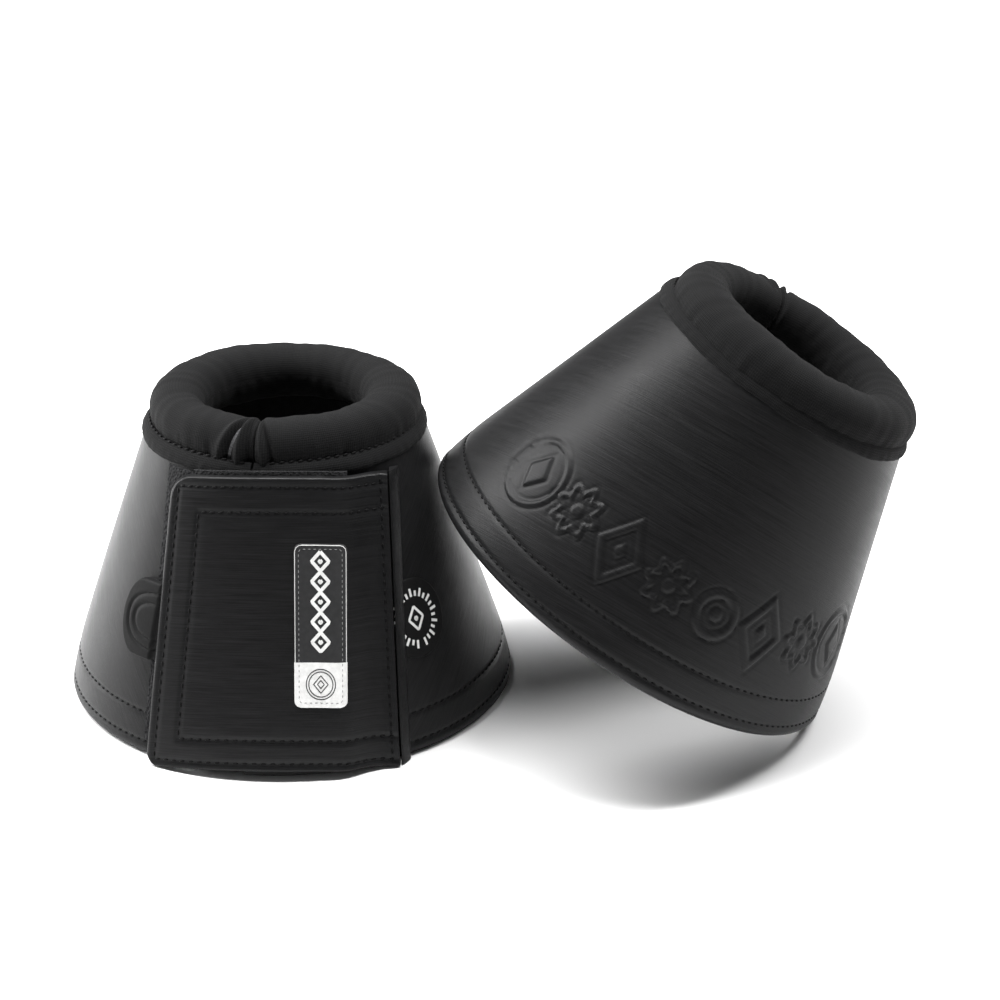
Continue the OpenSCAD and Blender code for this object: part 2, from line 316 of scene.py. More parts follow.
def makeKnit(name, ribTurn=0.0, onObject=False):
    material, nodes, links, shader = newMaterial(
        name, knit["light"], 0.9, Specular_IOR_Level=0.08, Sheen_Weight=0.025, Sheen_Roughness=0.45)
    flat = nodes.new("ShaderNodeTexCoord").outputs["Object"] if onObject else flatCoordinates(nodes)
    turned = mapped(nodes, links, flat, (1, 1, 1), ribTurn)
    split = nodes.new("ShaderNodeSeparateXYZ")
    links.new(turned, split.inputs[0])
    wobble = noiseAt(nodes, links, flat, 260, 2)
    ribPhase = mathNode(nodes, links, "MULTIPLY_ADD", split.outputs["Y"], 2 * math.pi / knit["rib"],
                        mathNode(nodes, links, "MULTIPLY", wobble, 2.6))
    loopPhase = mathNode(nodes, links, "MULTIPLY", split.outputs["X"], 2 * math.pi / knit["loop"])
    ribs = mathNode(nodes, links, "SINE", ribPhase)
    loops = mathNode(nodes, links, "SINE", loopPhase)
    fuzz = noiseAt(nodes, links, flat, 2600, 3, 0.7)
    lowRibs = mathNode(nodes, links, "MULTIPLY", ribs, 0.18)
    weave = mathNode(nodes, links, "MULTIPLY_ADD", loops, 0.22, lowRibs)
    height = mathNode(nodes, links, "ADD", weave, mathNode(nodes, links, "MULTIPLY", fuzz, 0.9))
    shade = remap(nodes, links, height, -0.1, 1.0, 0, 1)
    tint(nodes, links, shade, knit["dark"], knit["light"], shader.inputs["Base Color"])
    bump(nodes, links, height, shader, 0.00022, 0.75)
    return material


def makePile():
    material, nodes, links, shader = newMaterial(
        "hookAndLoopPile", (0.01, 0.01, 0.0105), 0.9, Specular_IOR_Level=0.12, Sheen_Weight=0.03)
    where = nodes.new("ShaderNodeTexCoord").outputs["Object"]
    cell = nodes.new("ShaderNodeTexVoronoi")
    cell.inputs["Scale"].default_value = 900
    links.new(where, cell.inputs["Vector"])
    clump = noiseAt(nodes, links, where, 300, 3)
    height = mathNode(nodes, links, "MULTIPLY_ADD", clump, 0.6, cell.outputs["Distance"])
    tint(nodes, links, remap(nodes, links, height, 0.2, 1.0, 0, 1), (0.003, 0.003, 0.003),
         (0.016, 0.016, 0.017), shader.inputs["Base Color"])
    bump(nodes, links, height, shader, 0.0006, 0.9)
    return material


def makeThread(name, dark, light):
    material, nodes, links, shader = newMaterial(name, light, 0.6, Specular_IOR_Level=0.1)
    where = nodes.new("ShaderNodeTexCoord").outputs["Object"]
    twist = noiseAt(nodes, links, where, 2500, 2)
    tint(nodes, links, twist, dark, light, shader.inputs["Base Color"])
    bump(nodes, links, twist, shader, 0.0001, 0.6)
    return material


def makeFoam():
    material, nodes, links, shader = newMaterial(
        "greyFoam", (0.10, 0.10, 0.105), 0.95, Specular_IOR_Level=0.2)
    where = nodes.new("ShaderNodeTexCoord").outputs["Object"]
    cell = nodes.new("ShaderNodeTexVoronoi")
    cell.inputs["Scale"].default_value = 1100
    links.new(where, cell.inputs["Vector"])
    tint(nodes, links, cell.outputs["Distance"], (0.05, 0.05, 0.052), (0.14, 0.14, 0.145),
         shader.inputs["Base Color"])
    bump(nodes, links, cell.outputs["Distance"], shader, 0.0004, 0.8)
    return material


def makeRubber():
    material, nodes, links, shader = newMaterial(
        "mouldedRubber", (0.008, 0.008, 0.0082), 0.6, Specular_IOR_Level=0.08)
    where = nodes.new("ShaderNodeTexCoord").outputs["Object"]
    grain = noiseAt(nodes, links, where, 1500, 3, 0.6)
    dust = noiseAt(nodes, links, where, 90, 2)
    tint(nodes, links, dust, (0.006, 0.006, 0.0061), (0.010, 0.010, 0.0102), shader.inputs["Base Color"])
    links.new(remap(nodes, links, grain, 0.3, 0.7, 0.5, 0.66), shader.inputs["Roughness"])
    bump(nodes, links, grain, shader, 0.00008, 0.6)
    return material


yarnPitch = 0.0005      # metres between the label's yarns


def makeWoven(name, colour, shade):
    material, nodes, links, shader = newMaterial(name, colour, 0.7, Specular_IOR_Level=0.3, Sheen_Weight=0.1)
    flat = flatCoordinates(nodes)
    split = nodes.new("ShaderNodeSeparateXYZ")
    links.new(flat, split.inputs[0])
    yarns = 2 * math.pi / yarnPitch
    warp = mathNode(nodes, links, "SINE", mathNode(nodes, links, "MULTIPLY", split.outputs["X"], yarns))
    weft = mathNode(nodes, links, "SINE", mathNode(nodes, links, "MULTIPLY", split.outputs["Y"], yarns))
    cloth = mathNode(nodes, links, "MULTIPLY", warp, weft)
    mottled = noiseAt(nodes, links, flat, 500, 2)
    value = mathNode(nodes, links, "MULTIPLY_ADD", cloth, 0.2, mottled)
    tint(nodes, links, remap(nodes, links, value, 0.2, 0.8, 0, 1), shade, colour, shader.inputs["Base Color"])
    bump(nodes, links, cloth, shader, 0.00006, 0.5)
    return material


skinFinish = makeBrushedSkin("brushedSkin", brushed["streakTurn"])
flapFinish = makeBrushedSkin("brushedFlap", 0.0)
knitFinish = makeKnit("blackKnit")
liningFinish = makeKnit("blackLining", math.pi / 2)
knitCad = makeKnit("blackKnitPanel", 0.0, True)
pileFinish = makePile()
threadFinish = makeThread("blackThread", (0.001, 0.001, 0.001), (0.004, 0.004, 0.0042))
paleThread = makeThread("paleThread", (0.12, 0.12, 0.12), (0.3, 0.3, 0.3))
fibreFinish = makeThread("pileFibre", (0.01, 0.01, 0.01), (0.045, 0.045, 0.045))
foamFinish = makeFoam()
rubberFinish = makeRubber()
labelBlack = makeWoven("labelBlack", (0.016, 0.016, 0.017), (0.008, 0.008, 0.0085))
labelWhite = makeWoven("labelWhite", (0.80, 0.80, 0.79), (0.62, 0.62, 0.61))
print("materials made")


# ---- the frieze pressed into the back: rosettes, targets and diamonds
frieze = {
    "middle": -180,
    "level": 38,          # height at which the flat drawing is true to size
    "plateau": 0.5,
    "groove": 0.42,
    "grooveWidth": 0.62,
    "reach": 62,          # degrees to each side
}
friezeMotifs = [
    ("roundMark", -73, 36.5), ("rosette", -50, 37), ("diamond", -29, 36), ("target", -9.5, 35.5),
    ("rosette", 10.5, 36), ("diamond", 31, 36), ("rosette", 52, 37), ("roundMark", 75, 36.5),
]


def motifDistance(kind, x, y):
    away = np.hypot(x, y)
    if kind == "target":
        return np.minimum(np.abs(away - 7.2) - 1.6, away - 2.4)
    if kind == "diamond":
        away = np.abs(x) * 0.82 + np.abs(y) * 0.57
        return np.minimum(np.abs(away - 6.6) - 1.5, away - 2.1)
    petals = np.cos(8 * np.arctan2(y, x))
    if kind == "rosette":
        return np.minimum(np.abs(away - 7.2 - 1.4 * petals) * 0.85 - 1.3, away - 2.6)
    return np.minimum(np.abs(away - 12.0) - 1.3, np.abs(x) * 0.82 + np.abs(y) * 0.57 - 4.4)


def pressedHeight(azimuth, z):
    azimuth, z = np.broadcast_arrays(azimuth, z)
    x = np.radians(azimuth - frieze["middle"]) * float(wallRadius(frieze["level"]))
    distance = np.full(x.shape, 50.0)
    for kind, cx, cy in friezeMotifs:
        distance = np.minimum(distance, motifDistance(kind, x - cx, z - cy))
    inside = np.clip(0.5 - distance / 1.6, 0, 1)
    plateau = frieze["plateau"] * inside * inside * (3 - 2 * inside)
    groove = frieze["groove"] * np.exp(-((distance - 0.1) / frieze["grooveWidth"]) ** 2)
    return plateau - groove


# ---- sewing lines
sewing = {
    "hemRows": (5.2, 15.5),      # heights above the hem
    "groove": 0.45,
    "grooveWidth": 0.85,
    "pitch": 3.4,
    "length": 2.4,
    "thick": 0.95,
    "slant": math.radians(9),
}


def sewnGroove(distance):
    return -sewing["groove"] * np.exp(-(distance / sewing["grooveWidth"]) ** 2)


def wallRelief(azimuth, z):
    relief = pressedHeight(azimuth, z)
    for row in sewing["hemRows"]:
        relief = relief + sewnGroove(z - row)
    sag = 0.35 * np.sin(np.radians(azimuth * 3 + 40)) * np.sin(np.radians(z * 2.4))
    return relief + sag


# ---- the outer skin, turned up inside the hem
def skinPath(side):
    # section from the neck down the outside, round the fold and up the inside: side 0 outer, 1 inner face
    fold, skin = wall["hemFold"], wall["skin"]
    down = spread(wall["height"], 2.6, 54, 0.72, 18.5, 0.62, fold)
    centre = float(wallRadius(fold)) - fold
    sweep = np.radians(np.linspace(0, -180, 11)[1:-1])
    up = spread(fold, 3.2, wall["facingHeight"])
    turnRadius = fold - side * skin
    r = np.concatenate([wallRadius(down) - side * skin,
                        centre + turnRadius * np.cos(sweep),
                        wallRadius(up) - 2 * fold + side * skin])
    z = np.concatenate([down, fold + turnRadius * np.sin(sweep), up])
    outside = np.concatenate([np.ones(len(down)), np.zeros(len(sweep) + len(up))])
    return r, z, outside


def skinPiece(name, boot, azimuths):
    az = azimuths[:, None]
    r, z, outside = skinPath(0)
    front = around(az, r[None, :] + outside * wallRelief(az, z[None, :]), z[None, :])
    ri, zi, _ = skinPath(1)
    back = around(az, ri[None, :], zi[None, :])
    middle = -180 if azimuths[0] < 0 else 180
    alongFold = np.where(outside > 0, z, 2 * wall["hemFold"] - z)   # the facing rolls out below the hem
    return slab(name, boot, front, back, flatPattern(az, alongFold[None, :], middle), skinFinish)


def bendAcross(piece):
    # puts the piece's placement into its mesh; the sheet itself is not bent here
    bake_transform(piece)


arcs = {
    "join": 88,            # where the two halves of every layer meet, on the back
    "collarSplit": -7,
    "tabEnd": 21,
    "flapWing": 23,
}
backTabArc = spread(arcs["join"] - 360, 1.4, -180 - frieze["reach"], 0.52, -180 + frieze["reach"], 1.4,
                    arcs["collarSplit"] - 1)
flapWingArc = spread(arcs["flapWing"], 1.3, arcs["join"])

for boot in boots:
    skin = skinPiece(f"{boot}_wrap_skin", boot, backTabArc)
    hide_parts(f"{boot}_back_shell", f"{boot}_tab_wing_shell")
    bendAcross(skin)
    skin = skinPiece(f"{boot}_flap_side_skin", boot, flapWingArc)
    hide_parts(f"{boot}_flap_wing_shell")
    bendAcross(skin)
print("skins made")


def wallSlab(name, boot, azimuths, heights, outer, inner, material, middle):
    # a plain layer of the wall between two offsets, outwards positive
    az, z = azimuths[:, None], heights[None, :]
    front = around(az, wallRadius(z) + outer, z)
    back = around(az, wallRadius(z) + inner, z)
    return slab(name, boot, front, back, flatPattern(az, z, middle), material)


tongue = {"top": 102.4}
lining = {"outer": -1.4, "inner": -4.95, "low": 3.4, "high": 104.0}

for boot in boots:
    end = wallSlab(f"{boot}_tongue_skin", boot, spread(arcs["collarSplit"] - 1, 1.5, arcs["tabEnd"]),
                   spread(tongue["top"], 3, 0.6), -0.02, -1.6, skinFinish, 0)
    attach(end, f"{boot}_tab_wing")
    heights = spread(lining["high"], 3.5, lining["low"])
    inner = wallSlab(f"{boot}_wrap_lining", boot,
                     spread(arcs["join"] - 360, 2, arcs["collarSplit"] - 1), heights,
                     lining["outer"], lining["inner"], liningFinish, -180)
    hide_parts(f"{boot}_back_lining", f"{boot}_tab_wing_lining")
    bendAcross(inner)
    inner = wallSlab(f"{boot}_flap_side_lining", boot,
                     spread(arcs["flapWing"], 2, arcs["join"]), heights,
                     lining["outer"], lining["inner"], liningFinish, 180)
    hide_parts(f"{boot}_flap_wing_lining")
    bendAcross(inner)
print("linings made")


# ---- padded collar and the welt under it
collar = {
    "ring": 39.7,
    "middle": 110.9,
    "halfWide": 10.0,
    "halfHigh": 10.1,
    "fullness": 2.3,
    "points": 72,
    "endRound": 3.0,      # degrees over which an end closes
    "foam": 0.84,         # size of the foam inside, as a share of the roll
    "backOut": 1.5,       # how far the roll swells over the welt at the back
    "backDown": 0.7,
}


def smooth01(t):
    t = np.clip(t, 0, 1)
    return t * t * (3 - 2 * t)


def waves(azimuth, seeds):
    # low waves that close on themselves round the boot
    total = 0
    for turns, shift, size in seeds:
        total = total + size * np.sin(np.radians(azimuth * turns + shift))
    return total


# folds that fan out from the crest of the roll at its ends: azimuth at the foot, half width, height
foldsTop = -10.5
folds = [(-25.5, 2.6, 1.3), (-20.8, 1.9, -2.2), (-16.2, 2.4, 1.6), (-11.6, 1.7, -2.2),
         (-4.0, 1.9, 1.5), (-0.4, 1.5, -1.9)]


def foldHeight(azimuth, angle):
    # angle round the section: 0 outwards, 90 at the crest
    fall = np.clip((115 - angle) / 135, 0, 1)
    total = 0
    for foot, width, height in folds:
        centre = foldsTop + (foot - foldsTop) * (0.35 + 0.65 * fall)
        spreadOut = 0.45 + 0.55 * fall
        ridge = np.exp(-((azimuth - centre) / (width * spreadOut)) ** 2)
        total = total + height * smooth01(fall * 2.2) * ridge
    return np.where((angle > -75) & (angle < 115), total, 0)


def collarSections(azimuths, closedAt, share=1.0):
    az = azimuths[:, None]
    degrees = np.linspace(-180, 180, collar["points"], endpoint=False)[None, :]
    angle = np.radians(degrees)
    power = 2 / collar["fullness"]
    c, s = np.cos(angle), np.sin(angle)
    dr = collar["halfWide"] * np.sign(c) * np.abs(c) ** power
    dz = collar["halfHigh"] * np.sign(s) * np.abs(s) ** power
    puff = waves(az, [(2, 20, 0.3), (3, 140, 0.22), (7, 60, 0.14), (13, 200, 0.08)])
    wrinkle = waves(az + degrees * 0.05, [(31, 0, 0.07), (43, 50, 0.06), (19, 110, 0.08)])
    nearSeam = np.exp(-((degrees + 12) / 26) ** 2)
    gathers = waves(az, [(67, 0, 0.10), (91, 50, 0.09), (53, 110, 0.10)]) * nearSeam
    shut = np.clip(1 - np.abs(az - closedAt) / collar["endRound"], 0, 1)
    size = np.sqrt(np.clip(1 - shut ** 2 * 0.3, 0, 1)) * share
    lift = (puff + wrinkle + gathers + foldHeight(az, degrees)) * (share == 1.0)
    grow = size * (1 + lift / collar["halfWide"])
    low = 0.9 * np.exp(-((az - closedAt) / 14) ** 2)
    fuller = 0.5 - 0.5 * np.cos(np.radians(az + 10))
    r = collar["ring"] + collar["backOut"] * fuller + dr * (grow + 0.12 * fuller)
    z = collar["middle"] - low - collar["backDown"] * fuller + dz * grow
    length = np.radians(az) * collar["ring"] * mm
    girth = angle * (collar["halfWide"] + collar["halfHigh"]) / 2 * mm
    flat = np.stack(np.broadcast_arrays(length, girth), -1)
    return around(az, r, z), flat


# outline of the welt: distance out from the neck and height above it
weltOutline = [(-2.7, 3.9), (-1.5, 3.7), (0.5, 2.0), (1.5, -0.4),
               (1.35, -1.75), (0.72, -1.85), (0.3, -0.4), (-1.2, 1.2)]


def roundedOutline(points, rounds):
    # cuts the corners of a closed outline, again and again
    points = np.array(points, float)
    for _ in range(rounds):
        after = np.roll(points, -1, axis=0)
        points = np.stack([points * 0.75 + after * 0.25, points * 0.25 + after * 0.75], 1).reshape(-1, 2)
    return points


def weltSections(azimuths):
    az = azimuths[:, None]
    outline = roundedOutline(weltOutline, 2)
    dr, dz = outline[None, :, 0], outline[None, :, 1]
    outside = smooth01(dr * 0.8)
    pucker = waves(az, [(59, 10, 0.10), (83, 70, 0.09), (11, 30, 0.12)]) * outside
    hem = waves(az, [(9, 80, 0.18), (17, 15, 0.12)]) * smooth01(-dz)
    dip = 1.2 * np.exp(-((az + 9) / 11) ** 2)
    r = wall["neckRadius"] + dr + pucker - 0.3 * dip
    z = wall["height"] + dz + hem - dip * 0.7
    points = around(az, r, z)
    girth = np.cumsum(np.r_[0, np.hypot(*np.diff(outline, axis=0).T)])[None, :] * mm
    length = np.radians(az) * wall["neckRadius"] * mm
    return points, np.stack(np.broadcast_arrays(length, girth), -1)


splitEnds = {"wrap": -9.4, "flap_side": -8.4}
collarHalves = {
    "wrap": spread(arcs["join"] - 360, 1.6, -32, 0.4, splitEnds["wrap"]),
    "flap_side": spread(splitEnds["flap_side"], 0.4, 5, 1.6, arcs["join"]),
}
halfWing = {"wrap": "tab_wing", "flap_side": "flap_wing"}

for boot in boots:
    for half, azimuths in collarHalves.items():
        wing = halfWing[half]
        bodies = [f"{boot}_{wing}"] + ([f"{boot}_back"] if half == "wrap" else [])
        sections, flat = collarSections(azimuths, splitEnds[half])
        roll = tube(f"{boot}_{half}_collar", boot, sections, flat, knitFinish)
        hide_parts(*[f"{body}_collar_cover" for body in bodies])
        bendAcross(roll)
        inset = azimuths[2:-8:3] if half == "wrap" else azimuths[8:-2:3]
        sections, flat = collarSections(inset, splitEnds[half], collar["foam"])
        foam = tube(f"{boot}_{half}_collar_foam", boot, sections, flat, foamFinish)
        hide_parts(*[f"{body}_collar_core" for body in bodies])
        bendAcross(foam)
        sections, flat = weltSections(azimuths)
        welt = tube(f"{boot}_{half}_welt", boot, sections, flat, knitFinish)
        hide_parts(*[f"{body}_welt" for body in bodies])
        bendAcross(welt)
print("collars made")


# ---- the flap, cut with straight edges from flat sheet and wrapped round the front
flap = {
    "edgeX": -49.0, "edgeLean": math.tan(math.radians(6.2)),
    "seamX": 45.0, "seamLean": math.tan(math.radians(2.6)),
    "low": 3.9, "high": 105.2,          # at its middle: the corners hang lower
    "cornerTop": 7.5, "cornerLow": 5.0,
    "out": 4.9, "thick": 2.2,
    "ridgeX": 23.5,
    "rowsLeft": (3.0, 11.5), "rowsTop": (3.4, 12.0), "rowsLow": (2.8, 11.0),
    "seamRow": 2.6,
}


def flapDrop(x, height):
    slant = (apexHeight - height) / math.cos(coneAngle)
    return x * x / (2 * slant) * math.cos(coneAngle)


def flapLeft(height):
    x = flap["edgeX"] + height * flap["edgeLean"]
    for edge, radius in (("high", flap["cornerTop"]), ("low", flap["cornerLow"])):
        inset = np.clip(radius - np.abs(height - flap[edge]), 0, radius)
        x = x + radius - np.sqrt(radius * radius - inset * inset)
    return x


def flapRight(height):
    return flap["seamX"] - height * flap["seamLean"] - 0.2


def flapOut(x):
    ridge = 0.75 * np.exp(-((x - flap["ridgeX"]) / 6.5) ** 2)
    dip = 1.5 * smooth01((x - 26) / 9) * (1 - smooth01((x - 38) / 5))
    flat = 0.5 * np.exp(-((x + 12) / 24) ** 2)
    return flap["out"] + ridge - dip - flat


def onFront(x, z, offset):
    radius = wallRadius(z) + offset
    return np.stack(np.broadcast_arrays(x, -np.sqrt(np.maximum(radius * radius - x * x, 1)), z), -1)


def flapPoint(x, height, lift=0.0):
    # height is measured at the middle of the flap
    z = height - flapDrop(x, height)
    return onFront(x, z, flapOut(x) + lift)


def flapRelief(x, height):
    fromLeft = x - (flap["edgeX"] + height * flap["edgeLean"])
    fromTop = flap["high"] - height
    fromLow = height - flap["low"]
    relief = 0
    for left, top, low in zip(flap["rowsLeft"], flap["rowsTop"], flap["rowsLow"]):
        inside = np.minimum(np.minimum(fromLeft - left, fromTop - top), fromLow - low)
        relief = relief + sewnGroove(inside)
    relief = relief + sewnGroove(flapRight(height) - x - flap["seamRow"])
    edge = np.minimum(np.minimum(x - flapLeft(height), fromTop), fromLow)
    rounding = np.clip(1 - edge / 0.9, 0, 1)
    return relief - 0.75 * (1 - np.sqrt(np.clip(1 - rounding ** 2, 0, 1)))


def flapGrid(nu, nv, leftInset=0.0, endInset=0.0, rightInset=0.0):
    low, high = flap["low"] + endInset, flap["high"] - endInset
    heights = nv if isinstance(nv, np.ndarray) else np.linspace(low, high, nv)
    share = nu if isinstance(nu, np.ndarray) else np.linspace(0, 1, nu)
    height = heights[None, :]
    left, right = flapLeft(height) + leftInset, flapRight(height) - rightInset
    x = left + (right - left) * share[:, None]
    return x, np.broadcast_to(height, x.shape)


flapShares = spread(0, 0.003, 0.012, 0.009, 0.15, 0.018, 0.9, 0.007, 1.0)
flapHeights = spread(flap["low"], 0.3, flap["low"] + 1.2, 0.8, flap["low"] + 13, 1.6, flap["high"] - 14, 0.8,
                     flap["high"] - 1.2, 0.3, flap["high"])


def flapFlat(x, height):
    z = height - flapDrop(x, height)
    azimuth = np.degrees(np.arcsin(np.clip(x / (wallRadius(z) + flap["out"]), -1, 1)))
    return flatPattern(azimuth, z, 0)


hooks = {"left": 8, "top": -1.3, "low": 5, "right": 14, "thick": 1.0}


def hookGrid(nu, nv):
    height = np.linspace(flap["low"] + hooks["low"], flap["high"] - hooks["top"], nv)[None, :]
    left = flap["edgeX"] + height * flap["edgeLean"] + hooks["left"]
    right = flapRight(height) - hooks["right"]
    x = left + (right - left) * np.linspace(0, 1, nu)[:, None]
    return x, np.broadcast_to(height, x.shape)


for boot in boots:
    x, height = flapGrid(flapShares, flapHeights)
    panel = slab(f"{boot}_front_flap", boot, flapPoint(x, height, flapRelief(x, height)),
                 flapPoint(x, height, -flap["thick"]), flapFlat(x, height), flapFinish)
    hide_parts(f"{boot}_flap_panel")
    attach(panel, f"{boot}_flap")
    x, height = hookGrid(60, 40)
    backing = slab(f"{boot}_flap_hooks", boot, flapPoint(x, height, -flap["thick"] - 0.04),
                   flapPoint(x, height, -flap["thick"] - hooks["thick"]), flapFlat(x, height), pileFinish)
    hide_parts(f"{boot}_flap_hook_panel")
    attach(backing, f"{boot}_flap")
print("flaps made")


# ---- the turned edge beside the seam
lip = {"wide": 3.2, "gap": 0.3, "high": 3.7, "low": 0.95, "under": 0.25, "first": 2.2, "last": 105.6}


def lipPoint(share, height, lift=0.0):
    x = flap["seamX"] - height * flap["seamLean"] + lip["gap"] + lip["wide"] * share
    fall = share ** 1.6
    return onFront(x, height - flapDrop(x, height), lip["high"] + (lip["low"] - lip["high"]) * fall + lift)


def makeLip(boot):
    share = np.array([0, 0.04, 0.12, 0.25, 0.4, 0.55, 0.7, 0.82, 0.91, 0.97, 1.0])[:, None]
    height = spread(lip["first"], 1.2, lip["last"])[None, :]
    fromEnd = np.minimum(height - lip["first"], lip["last"] - height) / 1.2
    edge = np.minimum(fromEnd, np.minimum(share, 1 - share) / 0.12)
    rounding = 0.5 * (1 - np.sqrt(1 - (1 - np.clip(edge, 0, 1)) ** 2))
    ripple = 0.12 * np.sin(height / 3.1) * np.sin(np.pi * share)
    front = lipPoint(share, height, ripple - rounding)
    x = flap["seamX"] - height * flap["seamLean"] + lip["gap"] + lip["wide"] * share
    back = onFront(x, height - flapDrop(x, height), lip["under"])
    piece = slab(f"{boot}_seam_lip", boot, front, back, flapFlat(x, height), skinFinish)
    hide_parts(f"{boot}_seam_strip")
    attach(piece, f"{boot}_flap_wing")


for boot in boots:
    makeLip(boot)


# ---- marks: narrow raised bars that follow a surface
def ribbon(path, place, width, low, high):
    # four-sided bar along a path of surface coordinates; place(points, lift) puts them on the object
    path = np.asarray(path, float)
    ahead = np.gradient(path, axis=0)
    ahead /= np.linalg.norm(ahead, axis=1)[:, None]
    aside = np.stack([-ahead[:, 1], ahead[:, 0]], 1) * width / 2
    left, right = path + aside, path - aside
    sections = np.stack([place(left, low), place(left, high), place(right, high), place(right, low)], 1)
    n = len(path)
    faces = []
    for i in range(n - 1):
        for k in range(4):
            a, b = i * 4 + k, i * 4 + (k + 1) % 4
            faces.append((a, b, b + 4, a + 4))
    faces.append((0, 3, 2, 1))
    faces.append(tuple(range((n - 1) * 4, n * 4)))
    return sections.reshape(-1, 3), faces


def joined(name, boot, bars, material):
    points, faces, start = [], [], 0
    for vertices, barFaces in bars:
        faces += [tuple(i + start for i in f) for f in barFaces]
        points.append(vertices)
        start += len(vertices)
    flat = np.concatenate(points)[:, [0, 2]] * mm
    return newObject(name, toWorld(boot, np.concatenate(points)), faces, material, flat)


def arcPath(middle, radius, first, last, tall=1.0, steps=28):
    a = np.radians(np.linspace(first, last, steps))
    return np.stack([middle[0] + radius * np.sin(a), middle[1] + radius * tall * np.cos(a)], 1)


def linePath(start, end, steps=6):
    t = np.linspace(0, 1, steps)[:, None]
    return np.array(start) * (1 - t) + np.array(end) * t


def diamondPath(middle, half, tall):
    corners = [(0, tall), (half, 0), (0, -tall), (-half, 0), (0, tall)]
    parts = [linePath(a, b, 7)[:-1] for a, b in zip(corners, corners[1:])]
    return np.concatenate(parts + [np.array(corners[-1:])]) + np.array(middle)


# ---- the label on the flap: a dark field and a pale foot, with plain marks
label = {
    "left": 7.2, "right": 26.1, "low": 27.0, "high": 83.0, "corner": 2.4,
    "footTop": 42.6, "thick": 0.55,
}


def labelPlace(points, lift):
    return flapPoint(points[:, 0], points[:, 1], lift)


def labelSide(height):
    # how much the rounded corners take from each side
    middle, half = (label["low"] + label["high"]) / 2, (label["high"] - label["low"]) / 2
    past = np.clip(np.abs(height - middle) - (half - label["corner"]), 0, label["corner"])
    return label["corner"] - np.sqrt(label["corner"] ** 2 - past ** 2)


def labelField(name, boot, low, high, material):
    rows = spread(low, 0.35, low + 2.4, 1.5, high - 2.4, 0.35, high)
    height = rows[None, :]
    left, right = label["left"] + labelSide(height), label["right"] - labelSide(height)
    share = spread(0, 0.012, 0.05, 0.045, 0.95, 0.012, 1)[:, None]
    x = left + (right - left) * share
    height = np.broadcast_to(height, x.shape)
    fromEnd = np.minimum(height - label["low"], label["high"] - height)
    edge = np.minimum(np.minimum(x - left, right - x), fromEnd)
    rounding = 0.22 * (1 - np.sqrt(1 - (1 - np.clip(edge / 0.5, 0, 1)) ** 2))
    return slab(name, boot, flapPoint(x, height, label["thick"] - rounding), flapPoint(x, height, 0.02),
                np.stack([x, height], -1) * mm, material)


def labelFrame(inset):
    # rounded rectangle a little inside the label's edge
    c = label["corner"]
    left, right = label["left"] + inset, label["right"] - inset
    low, high = label["low"] + inset, label["high"] - inset
    bend = c - inset * 0.6
    quarter = np.radians(np.linspace(0, 90, 7))
    corners = [(right - bend, high - bend, 0), (right - bend, low + bend, 90), (left + bend, low + bend, 180),
               (left + bend, high - bend, 270)]
    turns = []
    for cx, cz, first in corners:
        a = quarter + math.radians(first)
        turns.append(np.stack([cx + bend * np.sin(a), cz + bend * np.cos(a)], 1))
    path = np.concatenate(turns)
    return np.concatenate([path, path[:1]])


def denser(path, step):
    distance = np.r_[0, np.cumsum(np.linalg.norm(np.diff(path, axis=0), axis=1))]
    n = max(2, int(distance[-1] / step))
    at = np.linspace(0, distance[-1], n)
    return np.stack([np.interp(at, distance, path[:, k]) for k in range(path.shape[1])], 1)


labelMiddle = (label["left"] + label["right"]) / 2


def makeLabel(boot):
    field = labelField(f"{boot}_label_field", boot, label["footTop"] - 0.02, label["high"], labelBlack)
    foot = labelField(f"{boot}_label_foot", boot, label["low"], label["footTop"], labelWhite)
    top = label["thick"]
    x = labelMiddle
    pale = [ribbon(denser(labelFrame(0.35), 1.2), labelPlace, 0.22, top - 0.1, top + 0.06)]
    # a chain of plain diamonds up the dark field
    for step in range(5):
        middle = 49.6 + step * 6.9
        outline = denser(diamondPath((x, middle), 3.1, 3.3), 0.6)
        pale.append(ribbon(outline, labelPlace, 1.2, top - 0.1, top + 0.1))
        pale.append(ribbon(diamondPath((x, middle), 0.5, 0.5), labelPlace, 0.9, top - 0.1, top + 0.1))
    marks = joined(f"{boot}_label_marks", boot, pale, labelWhite)
    footMiddle = (x, (label["low"] + label["footTop"]) / 2 + 0.3)
    dark = [arcPath(footMiddle, 5.2, 0, 360, 1.0, 40), arcPath(footMiddle, 4.3, 0, 360, 1.0, 36)]
    dark += [diamondPath(footMiddle, 2.6, 3.0), diamondPath(footMiddle, 1.2, 1.4)]
    thin = [ribbon(path, labelPlace, 0.34, top - 0.1, top + 0.06) for path in dark]
    emblem = joined(f"{boot}_label_emblem", boot, thin, labelBlack)
    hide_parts(f"{boot}_label")
    for piece in (field, foot, marks, emblem):
        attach(piece, f"{boot}_flap")


for boot in boots:
    makeLabel(boot)
print("labels made")


# ---- pull tab behind the free edge
tab = {"low": 36.0, "high": 63.0, "reach": 18.0, "root": 5.5, "under": 1.75, "thick": 2.3}
tabMiddle = (tab["low"] + tab["high"]) / 2
tabEdgeX = flap["edgeX"] + tabMiddle * flap["edgeLean"]
tabAzimuth = math.degrees(math.asin(tabEdgeX / float(wallRadius(tabMiddle) + 3)))


def tabPlace(along, z, offset):
    # along runs from the free edge outwards, in millimetres round the wall
    radius = wallRadius(z) + offset
    return around(tabAzimuth - np.degrees(along / (wallRadius(z) + 3)), radius, z)


